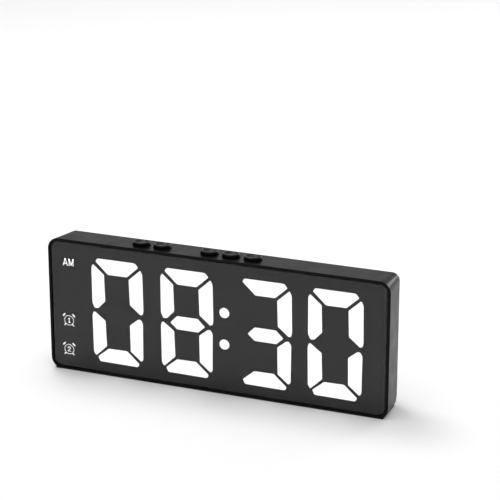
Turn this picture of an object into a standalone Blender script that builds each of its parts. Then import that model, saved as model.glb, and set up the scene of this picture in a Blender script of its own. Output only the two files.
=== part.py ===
"""Desk alarm clock with a large four-digit LED display, built piece by piece.

The clock faces -Y and stands on +Z up. Lengths below are in millimetres and MM turns them into
metres. A point is written (x, depth, z): depth counts backwards from the front plane of the rim,
and the finished model is moved so that the origin is the centre of the footprint, on the table.
"""
import math

import bmesh
import bpy
from mathutils import Vector

MM = 0.001
GAP = 0.3                      # clearance between pieces that touch on the real clock

# Case
FRONT_WIDTH = 161.0
FRONT_HEIGHT = 62.5
FRONT_RADIUS = 5.3
CASE_BOTTOM = 0.45             # height of the flat underside above the table
CASE_DEPTH = 18.2
DRAFT = 1.9                    # how much the sides and top draw in from the front edge to the rear
SLOPE_START = 16.6             # where the underside starts to rise to the rear edge
SLOPE_RADIUS = 2.5             # lower corner radius there
WALL = 1.6
RIM_WIDTH = 1.2                # front face of the rim, around the lens pocket
POCKET_DEPTH = 1.9
LEDGE_INSET = 2.9
LEDGE_BACK = 3.1
REAR_LIP = 0.7
REBATE_DEPTH = 2.1
EDGE_BREAK = 0.25

# Battery block on the rear cover
BLOCK_DEPTH = 8.0
TOTAL_DEPTH = CASE_DEPTH + BLOCK_DEPTH
BLOCK_BOTTOM = 3.3
BLOCK_TOP_REAR = 25.1
BLOCK_TOP_PANEL = 28.0
BLOCK_HALF_REAR = 65.3
BLOCK_HALF_PANEL = 74.7
BLOCK_WALL = 1.4
END_SLOPE = (BLOCK_HALF_PANEL - BLOCK_HALF_REAR) / BLOCK_DEPTH
TOP_SLOPE = (BLOCK_TOP_PANEL - BLOCK_TOP_REAR) / BLOCK_DEPTH

# Rear cover
COVER_INSET = 1.1
COVER_THICKNESS = 1.8
COVER_EDGE = 0.8
VENT_PITCH_X = 24.1
VENT_ROWS = (37.9, 34.4, 30.9)
VENT_LENGTH = 12.0
VENT_HEIGHT = 1.6
CHANNEL_DEPTH = 0.3
CHANNEL_HALF_LENGTHS = (61.0, 63.9, 61.0)
MIC_CENTRE = (-31.8, 36.3)
MIC_HOLE_RADIUS = 0.9
MIC_BOSS_RADIUS = 6.6
MIC_BORE_RADIUS = 3.3
JACK_CENTRE = (-51.5, 22.95)
JACK_HOLE_RADIUS = 2.1
JACK_RING_RADIUS = 3.0
JACK_RING_DEPTH = 0.35
POST_PLACES = ((-70.0, 44.0), (70.0, 44.0), (-70.0, 31.0), (70.0, 31.0))
POST_RADIUS = 2.0
HOOK_PLACES = ((-60.0, 1), (0.0, 1), (60.0, 1))

# Battery bay and door
DOOR_START = 13.1
DOOR_BOTTOM = 4.2
DOOR_TOP = 24.2
DOOR_THICKNESS = 1.4
BAY_START = 13.0
BAY_END = 64.3
BAY_FLOOR_DEPTH = 12.9
BAY_BOTTOM = 4.3
BAY_TOP = 26.0
BAY_WALL = 1.0
TAB_HEIGHTS = (7.5, 20.5)
GRIP_RIBS = ((15.6, 9.2), (17.8, 7.4), (20.0, 5.6), (22.1, 3.6), (24.1, 1.7))
CELL_RADIUS = 5.1
CELL_BODY = 43.6
CELL_NUB = 0.9
CELL_DEPTH = 18.3
CELL_HEIGHTS = (20.2, 9.7)

# Base pad, in plan
PAD_HALF = 78.3
PAD_FRONT = 0.1
PAD_SHOULDER = 16.2
PAD_HALF_REAR = 65.0
PAD_REAR = 23.8
PAD_GAP = 0.25

# Buttons, along the top from the left as seen from the front
BUTTON_XS = (-37.6, -27.5, -5.0, 5.2, 15.4)
BUTTON_DEPTH = 7.5
BUTTON_RADIUS = 3.9
BUTTON_RISE = 1.8              # above the case's sloping top, and parallel to it
RECESS_RADIUS = 4.25
RECESS_DEPTH = 0.7             # below the case's sloping top
CAP_LIFT = 0.4                 # from the recess up to the cap, room for the travel
STEM_DEPTH = 6.9
STEM_RADIUS = 2.2
STEM_HOLE_RADIUS = 2.55
FLANGE_RADIUS = 3.6
FLANGE_TOP = 59.25
FLANGE_BOTTOM = 58.75
PLUNGER_TOP = FLANGE_BOTTOM - GAP
PLUNGER_HEIGHT = 1.0
SWITCH_DEPTH = 7.1

# Display stack, front to back
LENS_INSET = 1.6
LENS_FRONT = 0.35
LENS_BACK = 1.85
MASK_INSET = 3.3
MASK_FRONT = 2.15
MASK_BACK = 2.45
SEGMENT_FRONT = 2.25
DIFFUSER_FRONT = 2.8
DIFFUSER_BACK = 3.6
LIGHT_BOX_FRONT = 3.9
LIGHT_BOX_BACK = 8.95
LIGHT_BOX_TOP = 55.7
LIGHT_BOX_INSET = 4.3
BOARD_FRONT = 9.3
BOARD_BACK = 10.5
BOARD_TOP = 57.8
BOARD_INSET = 3.6
SCREW_PLACES = ((-63.4, 9.0), (-63.4, 51.0), (72.6, 9.0), (72.6, 51.0))

# Digits: centres, and one digit's outline measured from its own centre
DIGIT_XS = (-46.75, -13.1, 23.7, 56.1)
DIGIT_Z = 30.63
COLON_X = 4.55
COLON_ZS = (37.9, 23.15)
COLON_RADIUS = 2.3
STATUS_X = -70.6
STATUS_PADS = ((51.6, 7.4, 5.0), (24.1, 7.2, 6.8), (10.4, 7.2, 6.8))
APERTURE_CLEARANCE = 0.3

# Corners (x, z, fillet radius) of four segments; the other three are these turned half round
TOP_BAR = (
    (-10.75, 23.05, 0.4), (-10.0, 24.61, 1.3), (9.2, 24.61, 3.0),
    (10.65, 22.8, 0.35), (5.1, 17.55, 0.3), (-4.2, 17.55, 0.3),
)
UPPER_LEFT = (
    (-11.75, 21.85, 0.4), (-12.6, 20.1, 1.5), (-12.6, 2.9, 1.5), (-11.3, 0.9, 0.5),
    (-9.75, 1.0, 0.5), (-6.05, 4.55, 0.3), (-6.05, 17.2, 0.3),
)
UPPER_RIGHT = (
    (11.3, 21.6, 0.4), (12.55, 19.3, 2.0), (12.6, 2.4, 1.5), (12.0, 0.6, 0.6),
    (10.8, 0.4, 0.5), (6.05, 4.45, 0.3), (5.9, 16.4, 0.3),
)
MIDDLE_BAR = (
    (-8.1, -0.4, 0.2), (-4.8, 2.8, 0.3), (5.3, 2.8, 0.3),
    (8.6, -0.3, 0.2), (5.3, -3.44, 0.3), (-4.8, -3.44, 0.3),
)


def half_turn(corners):
    """The same outline turned half round its digit's centre."""
    return tuple((-x, -z, radius) for x, z, radius in corners)


SEGMENTS = (
    TOP_BAR, UPPER_LEFT, UPPER_RIGHT, MIDDLE_BAR,
    half_turn(UPPER_RIGHT), half_turn(UPPER_LEFT), half_turn(TOP_BAR),
)

CORNER_STEPS = 6
ROUND_STEPS = 24


# ---------------------------------------------------------------- materials

def make_material(name, colour, roughness, metallic=0.0):
    mat = bpy.data.materials.new(name)
    mat.use_nodes = True
    shader = mat.node_tree.nodes["Principled BSDF"]
    shader.inputs["Base Color"].default_value = (*colour, 1.0)
    shader.inputs["Roughness"].default_value = roughness
    shader.inputs["Metallic"].default_value = metallic
    mat.diffuse_color = (*colour, 1.0)
    return mat


# ---------------------------------------------------------------- outlines, as (x, z) points

def arc_corner(before, corner, after, radius, steps):
    """Points of a fillet of this radius at a corner between two straight sides."""
    here = Vector(corner)
    to_before = (Vector(before) - here).normalized()
    to_after = (Vector(after) - here).normalized()
    half = to_before.angle(to_after) / 2
    bisector = (to_before + to_after).normalized()
    centre = here + bisector * (radius / math.sin(half))
    start = here + to_before * (radius / math.tan(half)) - centre
    end = here + to_after * (radius / math.tan(half)) - centre
    sweep = math.atan2(start.x * end.y - start.y * end.x, start.dot(end))
    points = []
    for i in range(steps + 1):
        turn = sweep * i / steps
        c, s = math.cos(turn), math.sin(turn)
        points.append((centre.x + start.x * c - start.y * s, centre.y + start.x * s + start.y * c))
    return points


def rounded_polygon(corners, steps):
    """A closed outline through (x, z, fillet radius) corners."""
    points = []
    for i, (x, z, radius) in enumerate(corners):
        before = corners[i - 1][:2]
        after = corners[(i + 1) % len(corners)][:2]
        points += arc_corner(before, (x, z), after, radius, steps)
    return points


def case_outline(inset, low=None, low_radius=None):
    """The case's front outline drawn in by an inset; its lower side and corners can be set."""
    radius = max(FRONT_RADIUS - inset, 0.5)
    low_radius = radius if low_radius is None else low_radius
    x = FRONT_WIDTH / 2 - inset
    low, high = (inset if low is None else low), FRONT_HEIGHT - inset
    corners = ((x, low, low_radius), (x, high, radius), (-x, high, radius), (-x, low, low_radius))
    return rounded_polygon(corners, CORNER_STEPS)


def shell_ring(depth, extra):
    """A section of the case's outer surface: drafted sides and top, flat below, sloping up at the rear."""
    forward = min(depth / SLOPE_START, 1.0)
    behind = max(depth - SLOPE_START, 0.0) / (CASE_DEPTH - SLOPE_START)
    low = extra + DRAFT * behind
    low_radius = FRONT_RADIUS + (SLOPE_RADIUS - FRONT_RADIUS) * forward
    low_radius += (FRONT_RADIUS - DRAFT - low_radius) * behind - extra
    outline = case_outline(draft_at(depth) + extra, low, low_radius)
    return [(x, depth, max(z, CASE_BOTTOM + extra)) for x, z in outline]


def rectangle(x0, x1, z0, z1):
    return [(x0, z0), (x1, z0), (x1, z1), (x0, z1)]


def circle(centre, radius, steps=ROUND_STEPS):
    turns = [2 * math.pi * i / steps for i in range(steps)]
    return [(centre[0] + radius * math.cos(t), centre[1] + radius * math.sin(t)) for t in turns]


def grown(corners, amount):
    """A convex outline of (x, z, radius) corners with every side moved out by an amount."""
    area = sum(a[0] * b[1] - b[0] * a[1] for a, b in zip(corners, corners[1:] + corners[:1]))
    side = math.copysign(1.0, area)
    result = []
    for i, (x, z, radius) in enumerate(corners):
        here = Vector((x, z))
        into = (here - Vector(corners[i - 1][:2])).normalized()
        out = (Vector(corners[(i + 1) % len(corners)][:2]) - here).normalized()
        normal_in = Vector((into.y, -into.x)) * side
        normal_out = Vector((out.y, -out.x)) * side
        shift = (normal_in + normal_out) * (amount / (1 + normal_in.dot(normal_out)))
        result.append((x + shift.x, z + shift.y, radius + amount))
    return tuple(result)


def placed(corners, digit):
    """A segment's corners moved to a digit's place."""
    return tuple((x + DIGIT_XS[digit], z + DIGIT_Z, radius) for x, z, radius in corners)


# ---------------------------------------------------------------- solids, in a bmesh in millimetres

def loft(bm, rings, closed=False):
    """Skins a row of equal rings; closed joins the last ring to the first, else both ends are capped."""
    rows = [[bm.verts.new(point) for point in ring] for ring in rings]
    pairs = list(zip(rows, rows[1:] + rows[:1])) if closed else list(zip(rows, rows[1:]))
    for first, second in pairs:
        for i in range(len(first)):
            j = (i + 1) % len(first)
            bm.faces.new((first[i], first[j], second[j], second[i]))
    if not closed:
        bm.faces.new(rows[0])
        bm.faces.new(rows[-1])


def add_prism(bm, outline, front, back):
    """An (x, z) outline extruded in depth."""
    loft(bm, [[(x, depth, z) for x, z in outline] for depth in (front, back)])


def add_box(bm, xs, depths, zs):
    add_prism(bm, rectangle(*xs, *zs), *depths)


def add_turned(bm, profile, centre, axis, steps=ROUND_STEPS, closed=False):
    """A turned solid: profile is (radius, place along the axis), centre the other two coordinates."""
    rings = []
    for radius, along in profile:
        ring = []
        for i in range(steps):
            turn = 2 * math.pi * i / steps
            a = centre[0] + radius * math.cos(turn)
            b = centre[1] + radius * math.sin(turn)
            ring.append({"x": (along, a, b), "y": (a, along, b), "z": (a, b, along)}[axis])
        rings.append(ring)
    loft(bm, rings, closed)


def new_bm():
    return bmesh.new()


def finish(name, bm, mat, origin=(0.0, 0.0, 0.0), smooth=35.0):
    """Makes the object, in metres, with its origin at a point given in millimetres."""
    bmesh.ops.recalc_face_normals(bm, faces=bm.faces)
    origin = Vector(origin)
    for vert in bm.verts:
        vert.co = (vert.co - origin) * MM
    mesh = bpy.data.meshes.new(name)
    bm.to_mesh(mesh)
    bm.free()
    obj = bpy.data.objects.new(name, mesh)
    bpy.context.scene.collection.objects.link(obj)
    obj.location = (origin + Vector((0.0, -TOTAL_DEPTH / 2, 0.0))) * MM
    if mat is not None:
        mesh.materials.append(mat)
        mesh.shade_smooth()
        mesh.set_sharp_from_angle(angle=math.radians(smooth))
        obj.parent = CLOCK
    return obj


def boolean(obj, tool_bm, operation):
    """Cuts or joins an object with a tool mesh and keeps the result as its own mesh."""
    tool = finish("tool", tool_bm, None)
    tool.hide_render = True
    tool.display_type = "WIRE"
    modifier = obj.modifiers.new(operation.lower(), "BOOLEAN")
    modifier.operation = operation
    modifier.solver = "EXACT"
    modifier.object = tool
    bpy.context.view_layer.update()
    graph = bpy.context.evaluated_depsgraph_get()
    mesh = bpy.data.meshes.new_from_object(obj.evaluated_get(graph))
    obj.modifiers.remove(modifier)
    bpy.data.objects.remove(tool)
    obj.data = mesh
    mesh.shade_smooth()
    mesh.set_sharp_from_angle(angle=math.radians(35.0))
    return obj


# ---------------------------------------------------------------- case

def draft_at(depth):
    return DRAFT * depth / CASE_DEPTH


def button_ring(x, radius, drop):
    """A ring round a button's axis, at a drop below the case's sloping top."""
    return [(px, depth, FRONT_HEIGHT - draft_at(depth) - drop)
            for px, depth in circle((x, BUTTON_DEPTH), radius)]


def make_housing(plastic):
    """Tapered sleeve with the front rim, the ledge behind the lens and the rebate for the cover."""
    rear = CASE_DEPTH
    rebate = rear - REBATE_DEPTH
    outer = ((0.0, EDGE_BREAK), (EDGE_BREAK, 0.0), (SLOPE_START, 0.0), (rear - EDGE_BREAK, 0.0),
             (rear, EDGE_BREAK))
    inner = (
        (rear, DRAFT + REAR_LIP),
        (rebate, DRAFT + REAR_LIP),
        (rebate, draft_at(rebate) + WALL),
        (LEDGE_BACK, draft_at(LEDGE_BACK) + WALL),
        (LEDGE_BACK, LEDGE_INSET),
        (POCKET_DEPTH, LEDGE_INSET),
        (POCKET_DEPTH, RIM_WIDTH),
        (0.0, RIM_WIDTH),
    )
    rings = [shell_ring(depth, extra) for depth, extra in outer]
    rings += [[(x, depth, z) for x, z in case_outline(inset)] for depth, inset in inner]
    bm = new_bm()
    loft(bm, rings, closed=True)
    housing = finish("housing", bm, plastic)
    recesses, holes = new_bm(), new_bm()
    for x in BUTTON_XS:
        above = [(px, depth, FRONT_HEIGHT + 2.0) for px, depth in circle((x, BUTTON_DEPTH), RECESS_RADIUS)]
        loft(recesses, [button_ring(x, RECESS_RADIUS, RECESS_DEPTH), above])
        ends = ((STEM_HOLE_RADIUS, FRONT_HEIGHT - 6.0), (STEM_HOLE_RADIUS, FRONT_HEIGHT))
        add_turned(holes, ends, (x, STEM_DEPTH), "z")
    boolean(housing, recesses, "DIFFERENCE")
    return boolean(housing, holes, "DIFFERENCE")


def make_lens(smoked):
    bm = new_bm()
    edge = 0.2
    rings = ((LENS_FRONT, LENS_INSET + edge), (LENS_FRONT + edge, LENS_INSET), (LENS_BACK, LENS_INSET))
    loft(bm, [[(x, depth, z) for x, z in case_outline(inset)] for depth, inset in rings])
    return finish("front_lens", bm, smoked)


# ---------------------------------------------------------------- display

def make_mask(black):
    """Thin black plate with a window for each segment, dot and status mark."""
    bm = new_bm()
    add_prism(bm, case_outline(MASK_INSET), MASK_FRONT, MASK_BACK)
    mask = finish("display_mask", bm, black)
    windows = new_bm()
    through = (MASK_FRONT - 1.0, MASK_BACK + 1.0)
    for digit in range(len(DIGIT_XS)):
        for segment in SEGMENTS:
            corners = grown(placed(segment, digit), APERTURE_CLEARANCE)
            add_prism(windows, rounded_polygon(corners, 1), *through)
    for z in COLON_ZS:
        add_prism(windows, circle((COLON_X, z), COLON_RADIUS + APERTURE_CLEARANCE, 16), *through)
    for z, width, height in STATUS_PADS:
        half_x = width / 2 + APERTURE_CLEARANCE
        half_z = height / 2 + APERTURE_CLEARANCE
        outline = rectangle(STATUS_X - half_x, STATUS_X + half_x, z - half_z, z + half_z)
        add_prism(windows, outline, *through)
    return boolean(mask, windows, "DIFFERENCE")


def make_digit_diffuser(digit, white):
    """White light guide of one digit: a back plate with seven raised segments."""
    bm = new_bm()
    x = DIGIT_XS[digit]
    half_x, half_z = 13.2, 25.0
    add_box(bm, (x - half_x, x + half_x), (DIFFUSER_FRONT, DIFFUSER_BACK),
            (DIGIT_Z - half_z, DIGIT_Z + half_z))
    diffuser = finish(f"digit_diffuser_{digit + 1}", bm, white)
    raised = new_bm()
    for segment in SEGMENTS:
        add_prism(raised, rounded_polygon(placed(segment, digit), 2),
                  SEGMENT_FRONT, (DIFFUSER_FRONT + DIFFUSER_BACK) / 2)
    return boolean(diffuser, raised, "UNION")


def make_colon_diffuser(white):
    bm = new_bm()
    low, high = min(COLON_ZS) - 4.0, max(COLON_ZS) + 4.0
    add_box(bm, (COLON_X - 3.4, COLON_X + 3.4), (DIFFUSER_FRONT, DIFFUSER_BACK), (low, high))
    diffuser = finish("colon_diffuser", bm, white)
    raised = new_bm()
    for z in COLON_ZS:
        add_prism(raised, circle((COLON_X, z), COLON_RADIUS, 16),
                  SEGMENT_FRONT, (DIFFUSER_FRONT + DIFFUSER_BACK) / 2)
    return boolean(diffuser, raised, "UNION")


def make_status_diffuser(white):
    bm = new_bm()
    add_box(bm, (STATUS_X - 4.4, STATUS_X + 4.4), (DIFFUSER_FRONT, DIFFUSER_BACK), (6.0, 55.2))
    diffuser = finish("status_diffuser", bm, white)
    raised = new_bm()
    for z, width, height in STATUS_PADS:
        add_box(raised, (STATUS_X - width / 2, STATUS_X + width / 2),
                (SEGMENT_FRONT, (DIFFUSER_FRONT + DIFFUSER_BACK) / 2), (z - height / 2, z + height / 2))
    return boolean(diffuser, raised, "UNION")


def light_wells():
    """Centres and half sizes of the wells behind each segment, dot and status mark."""
    wells = []
    for x in DIGIT_XS:
        wells += [(x, DIGIT_Z + dz, 4.4, 2.6) for dz in (21.0, 0.0, -21.0)]
        wells += [(x + dx, DIGIT_Z + dz, 2.4, 5.6) for dx in (-9.3, 9.3) for dz in (11.0, -11.0)]
    wells += [(COLON_X, z, 2.0, 2.0) for z in COLON_ZS]
    wells += [(STATUS_X, z, 2.6, 2.0) for z, _, _ in STATUS_PADS]
    return wells


def make_light_box(white):
    """White reflector block with a well behind every segment and blind holes for the screws."""
    bm = new_bm()
    half = FRONT_WIDTH / 2 - LIGHT_BOX_INSET
    add_box(bm, (-half, half), (LIGHT_BOX_FRONT, LIGHT_BOX_BACK), (LIGHT_BOX_INSET, LIGHT_BOX_TOP))
    box = finish("light_box", bm, white)
    cuts = new_bm()
    for x, z, half_x, half_z in light_wells():
        add_box(cuts, (x - half_x, x + half_x), (LIGHT_BOX_FRONT - 1, LIGHT_BOX_BACK + 1),
                (z - half_z, z + half_z))
    for place in SCREW_PLACES:
        add_turned(cuts, ((1.3, LIGHT_BOX_BACK - 3.6), (1.3, LIGHT_BOX_BACK + 1)), place, "y", 12)
    return boolean(box, cuts, "DIFFERENCE")


# ---------------------------------------------------------------- electronics

def make_main_board(green):
    """Circuit board with an LED chip standing in each well of the light box."""
    bm = new_bm()
    half = FRONT_WIDTH / 2 - BOARD_INSET
    add_box(bm, (-half, half), (BOARD_FRONT, BOARD_BACK), (BOARD_INSET, BOARD_TOP))
    board = finish("main_board", bm, green)
    chips = new_bm()
    for x, z, _, _ in light_wells():
        add_box(chips, (x - 1.4, x + 1.4), (BOARD_FRONT - 0.8, BOARD_FRONT + 0.4), (z - 1.2, z + 1.2))
    boolean(board, chips, "UNION")
    holes = new_bm()
    for place in SCREW_PLACES:
        add_turned(holes, ((1.25, BOARD_FRONT - 1), (1.25, BOARD_BACK + 1)), place, "y", 12)
    return boolean(board, holes, "DIFFERENCE")


def make_board_screw(index, steel):
    """Pan-head screw that holds the board to the light box."""
    head_front = BOARD_BACK + GAP
    tip = LIGHT_BOX_BACK - 3.2
    profile = (
        (0.5, tip), (0.95, tip + 0.7), (0.95, head_front), (1.9, head_front),
        (1.9, head_front + 0.8), (1.2, head_front + 1.3),
    )
    bm = new_bm()
    add_turned(bm, profile, SCREW_PLACES[index], "y", 16)
    return finish(f"board_screw_{index + 1}", bm, steel)


def make_packaged_part(name, mat, x, z, width, height, thickness, edge=0.25):
    """A box-shaped component on the back of the board, with its upper edges broken."""
    base = BOARD_BACK + GAP
    top = base + thickness
    bm = new_bm()
    rings = ((base, 0.0), (top - edge, 0.0), (top, edge))
    loft(bm, [[(px, depth, pz) for px, pz in rectangle(
        x - width / 2 + inset, x + width / 2 - inset, z - height / 2 + inset, z + height / 2 - inset
    )] for depth, inset in rings])
    return finish(name, bm, mat)


def make_round_part(name, mat, place, profile, steps=ROUND_STEPS):
    """A round component standing on the back of the board: profile is (radius, height above it)."""
    base = BOARD_BACK + GAP
    bm = new_bm()
    add_turned(bm, [(radius, base + height) for radius, height in profile], place, "y", steps)
    return finish(name, bm, mat)


def make_coin_cell_holder(mat):
    """Round cup with an open back that holds the cell for the clock's memory."""
    base = BOARD_BACK + GAP
    profile = ((11.2, base), (11.2, base + 3.4), (10.4, base + 3.4), (10.4, base + 0.7), (0.6, base + 0.7),
               (0.6, base))
    bm = new_bm()
    add_turned(bm, profile, (46.0, 44.0), "y", 32, closed=True)
    return finish("coin_cell_holder", bm, mat)


def make_microphone(mat):
    """Electret capsule in its boss behind the small hole of the rear cover."""
    back = CASE_DEPTH - COVER_THICKNESS - GAP
    bm = new_bm()
    profile = ((2.9, back - 2.7), (3.0, back - 2.6), (3.0, back - 0.2), (2.8, back))
    add_turned(bm, profile, MIC_CENTRE, "y", 24)
    return finish("microphone", bm, mat)


def make_dc_jack(mat):
    """Power socket behind the hole in the block, with its bore and centre pin."""
    x, z = JACK_CENTRE
    mouth = 21.4
    base = BOARD_BACK + GAP + 0.2
    bm = new_bm()
    add_box(bm, (x - 3.0, x + 3.0), (base, mouth), (z - 4.4, z + 2.1))
    jack = finish("dc_jack", bm, mat)
    bore = new_bm()
    profile = ((1.75, mouth - 7.0), (1.75, mouth + 1.0), (0.65, mouth + 1.0), (0.65, mouth - 7.0))
    add_turned(bore, profile, (x, z), "y", 20, closed=True)
    return boolean(jack, bore, "DIFFERENCE")


def make_tact_switch(index, mat):
    """Right-angle push switch at the top edge of the board, open on top for its plunger."""
    x = BUTTON_XS[index]
    low, high = LIGHT_BOX_TOP + GAP, PLUNGER_TOP - 0.45
    bm = new_bm()
    add_box(bm, (x - 3.1, x + 3.1), (SWITCH_DEPTH - 1.8, BOARD_FRONT - GAP), (low, high))
    switch = finish(f"tact_switch_{index + 1}", bm, mat)
    well = new_bm()
    ends = ((1.45, low + 0.5), (1.45, high + 1.0))
    add_turned(well, ends, (x, SWITCH_DEPTH), "z", 16)
    return boolean(switch, well, "DIFFERENCE")


def make_plunger(index, mat):
    x = BUTTON_XS[index]
    centre = (x, SWITCH_DEPTH)
    bm = new_bm()
    profile = ((1.15, PLUNGER_TOP - PLUNGER_HEIGHT), (1.15, PLUNGER_TOP - 0.15), (1.0, PLUNGER_TOP))
    add_turned(bm, profile, centre, "z", 16)
    return finish(f"switch_plunger_{index + 1}", bm, mat, origin=(*centre, PLUNGER_TOP))


def make_button(index, mat):
    """Push button: a dished cap in its recess, and a stem with a flange that keeps it in the case."""
    x = BUTTON_XS[index]
    waist, lip, dish = BUTTON_RADIUS - 0.1, BUTTON_RADIUS - 0.6, 0.9
    profile = (
        (waist, CAP_LIFT - RECESS_DEPTH), (waist, BUTTON_RISE - 1.4), (BUTTON_RADIUS, BUTTON_RISE - 1.2),
        (BUTTON_RADIUS, BUTTON_RISE - 0.3), (BUTTON_RADIUS - 0.3, BUTTON_RISE), (lip, BUTTON_RISE),
        (lip - 0.6, BUTTON_RISE - dish * 0.6), (1.6, BUTTON_RISE - dish * 0.9), (0.6, BUTTON_RISE - dish),
    )
    rings = [button_ring(x, radius, -rise) for radius, rise in profile]
    bm = new_bm()
    loft(bm, rings)
    button = finish(f"button_{index + 1}", bm, mat, origin=(x, STEM_DEPTH, FLANGE_BOTTOM))
    stem = new_bm()
    profile = ((FLANGE_RADIUS, FLANGE_BOTTOM), (FLANGE_RADIUS, FLANGE_TOP), (STEM_RADIUS, FLANGE_TOP),
               (STEM_RADIUS, FRONT_HEIGHT - 0.4))
    add_turned(stem, profile, (x, STEM_DEPTH), "z")
    return boolean(button, stem, "UNION")


# ---------------------------------------------------------------- rear cover and battery bay

def block_half_width(depth):
    return BLOCK_HALF_REAR + (TOTAL_DEPTH - depth) * END_SLOPE


def block_top(depth):
    return BLOCK_TOP_REAR + (TOTAL_DEPTH - depth) * TOP_SLOPE


def block_section(depth, end_inset, top_inset, bottom, x_low=None, x_high=None):
    """The block's outline at a depth, moved in from its sloping ends and top."""
    half = block_half_width(depth) - end_inset
    left = -half if x_low is None else x_low
    right = half if x_high is None else x_high
    return [(x, depth, z) for x, z in rectangle(left, right, bottom, block_top(depth) - top_inset)]


def make_rear_cover(plastic):
    """Rear panel with vents, battery block, open-backed battery bay, posts and snap hooks."""
    rear = CASE_DEPTH
    inner = rear - COVER_THICKNESS
    rings = ((inner, 0.0), (rear - COVER_EDGE, 0.0), (rear - COVER_EDGE * 0.3, COVER_EDGE * 0.3),
             (rear, COVER_EDGE))
    bm = new_bm()
    loft(bm, [[(x, depth, z) for x, z in case_outline(DRAFT + COVER_INSET + inset)]
              for depth, inset in rings])
    cover = finish("rear_cover", bm, plastic)

    block = new_bm()
    loft(block, [block_section(depth, 0.0, 0.0, BLOCK_BOTTOM) for depth in (rear - 0.9, TOTAL_DEPTH)])
    boolean(cover, block, "UNION")

    hollow = new_bm()
    end_inset = BLOCK_WALL * math.hypot(1.0, END_SLOPE)
    top_inset = BLOCK_WALL * math.hypot(1.0, TOP_SLOPE)
    depths = (inner - 1.0, TOTAL_DEPTH - BLOCK_WALL)
    loft(hollow, [block_section(depth, end_inset, top_inset, BLOCK_BOTTOM + 1.2) for depth in depths])
    boolean(cover, hollow, "DIFFERENCE")

    tub = new_bm()
    tub_rear = TOTAL_DEPTH - BLOCK_WALL / 2
    roof = BAY_TOP + BAY_WALL
    side = [(BAY_FLOOR_DEPTH - BAY_WALL, BAY_BOTTOM - 0.7), (tub_rear, BAY_BOTTOM - 0.7),
            (tub_rear, block_top(tub_rear) - 0.5), (rear + 3.0, roof - 0.3),
            (BAY_FLOOR_DEPTH - BAY_WALL, roof - 0.3)]
    xs = (BAY_START - BAY_WALL - 0.4, BAY_END + BAY_WALL)
    loft(tub, [[(x, depth, z) for depth, z in side] for x in xs])
    boolean(cover, tub, "UNION")

    bay = new_bm()
    bay_rear = TOTAL_DEPTH - DOOR_THICKNESS - 0.05
    side = [(BAY_FLOOR_DEPTH, BAY_BOTTOM), (bay_rear, BAY_BOTTOM),
            (bay_rear, block_top(bay_rear) - top_inset), (rear, block_top(rear) - top_inset - 0.6),
            (BAY_FLOOR_DEPTH, BAY_TOP)]
    loft(bay, [[(x, depth, z) for depth, z in side] for x in (BAY_START, BAY_END)])
    boolean(cover, bay, "DIFFERENCE")

    opening = new_bm()
    add_box(opening, (DOOR_START, BLOCK_HALF_REAR + 4.0), (bay_rear - 0.3, TOTAL_DEPTH + 1.0),
            (DOOR_BOTTOM, DOOR_TOP))
    for z in TAB_HEIGHTS:
        add_box(opening, (BAY_START - 2.4, BAY_START + 0.05), (TOTAL_DEPTH - 3.4, TOTAL_DEPTH - 1.7),
                (z - 2.0, z + 2.0))
    boolean(cover, opening, "DIFFERENCE")
    add_cover_posts(cover)
    cut_cover_details(cover)
    return cover


def add_cover_posts(cover):
    """Posts that press on the board, the microphone's boss and the snap hooks along the top."""
    inner = CASE_DEPTH - COVER_THICKNESS
    extra = new_bm()
    for place in POST_PLACES:
        add_turned(extra, ((POST_RADIUS, BOARD_BACK + GAP), (POST_RADIUS, inner + 0.5)), place, "y", 16)
    add_turned(extra, ((MIC_BOSS_RADIUS, inner - 3.0), (MIC_BOSS_RADIUS, inner + 0.5)), MIC_CENTRE, "y")
    top = FRONT_HEIGHT - DRAFT - WALL - 0.5
    for x, _ in HOOK_PLACES:
        add_box(extra, (x - 3.0, x + 3.0), (inner - 3.4, inner + 0.5), (top - 1.2, top))
    boolean(cover, extra, "UNION")


def cut_cover_details(cover):
    """Channels, vent slots, microphone hole and bore, and the power socket's hole and ring."""
    rear = CASE_DEPTH
    inner = rear - COVER_THICKNESS
    channels = new_bm()
    for z, half in zip(VENT_ROWS, CHANNEL_HALF_LENGTHS):
        add_box(channels, (-half, half), (rear - CHANNEL_DEPTH, rear + 1.0),
                (z - VENT_HEIGHT / 2, z + VENT_HEIGHT / 2))
    boolean(cover, channels, "DIFFERENCE")
    slots = new_bm()
    for z in VENT_ROWS:
        for group in (-2, -1, 0, 1, 2):
            x0 = group * VENT_PITCH_X - VENT_LENGTH / 2
            x1 = x0 + VENT_LENGTH
            if group == -1:
                reach = MIC_BOSS_RADIUS ** 2 - (z - MIC_CENTRE[1]) ** 2
                x0 = MIC_CENTRE[0] + math.sqrt(reach)
            height = VENT_HEIGHT / 2 - 0.03
            add_box(slots, (x0, x1), (inner - 1.0, rear + 1.0), (z - height, z + height))
    boolean(cover, slots, "DIFFERENCE")
    holes = new_bm()
    profile = ((MIC_BORE_RADIUS, inner - 4.0), (MIC_BORE_RADIUS, inner + 0.2),
               (MIC_HOLE_RADIUS, inner + 0.2), (MIC_HOLE_RADIUS, rear + 1.0))
    add_turned(holes, profile, MIC_CENTRE, "y", 20)
    profile = ((JACK_HOLE_RADIUS, TOTAL_DEPTH - 3.5), (JACK_HOLE_RADIUS, TOTAL_DEPTH - JACK_RING_DEPTH),
               (JACK_RING_RADIUS, TOTAL_DEPTH - JACK_RING_DEPTH), (JACK_RING_RADIUS, TOTAL_DEPTH + 1.0))
    add_turned(holes, profile, JACK_CENTRE, "y")
    boolean(cover, holes, "DIFFERENCE")


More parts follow.
